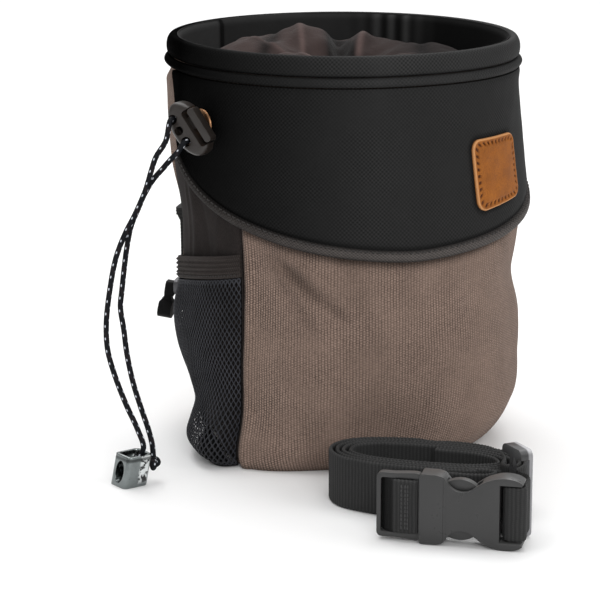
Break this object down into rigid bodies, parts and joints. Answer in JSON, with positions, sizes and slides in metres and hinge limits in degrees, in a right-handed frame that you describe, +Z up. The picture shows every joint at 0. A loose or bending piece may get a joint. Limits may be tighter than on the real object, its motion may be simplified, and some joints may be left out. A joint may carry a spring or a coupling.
{
  "type": "climbing chalk bag with belt",
  "caption": "Round cloth chalk bag with a stiff rim, gathered closure, drawcord with lock and metal end, mesh side pocket, and a webbing belt coiled in front with its buckle fastened.",
  "frame": {"origin": "centre of the bag's flat base, on the floor", "axes": "+Z up through the bag's mouth, -Y the bag's front, -X the side with the mesh pocket"},
  "size_m": [0.1865, 0.2399, 0.165],
  "materials": {
    "canvas": "matt woven canvas",
    "side_nylon": "matt woven nylon",
    "nylon": "woven nylon with a faint sheen",
    "binding": "matt woven tape",
    "fleece": "matt brushed cloth",
    "mesh": "knitted mesh",
    "leather": "smooth with stitch holes",
    "bronze": "satin bronze",
    "lock_plastic": "matt moulded",
    "cord": "braided with light flecks",
    "gunmetal": "polished grey metal",
    "webbing": "ribbed woven webbing",
    "buckle_plastic": "satin moulded"
  },
  "bodies": {
    "bag": {"canvas_body": "canvas", "side_panel": "side_nylon", "collar": "nylon", "collar_binding": "binding", "rim_band": "nylon", "rim_piping": "nylon", "inner_band": "nylon", "closure_cuff": "fleece", "mesh_pocket": "mesh", "pocket_elastic": "side_nylon", "leather_patch": "leather", "eyelet": "bronze", "belt_loop_left": "webbing", "belt_loop_right": "webbing", "rear_zip": "side_nylon", "zip_slider": "gunmetal", "zip_puller": "webbing", "cord_lock_body": "lock_plastic", "drawcord_a": "cord", "drawcord_b": "cord", "cord_end_cube": "gunmetal", "cord_knot": "cord", "belt_webbing": "webbing", "buckle_male": "buckle_plastic", "buckle_female": "buckle_plastic", "belt_slider": "buckle_plastic"},
    "lock_button": {"cord_lock_button": "lock_plastic"}
  },
  "joints": [
    {"name": "lock_button_press", "type": "slide", "parent": "bag", "child": "lock_button", "axis": [-0.5413, 0.6012, -0.5878], "range_m": [0, 0.0022], "stiffness_N_per_m": 800, "springref_m": -0.0008}
  ]
}
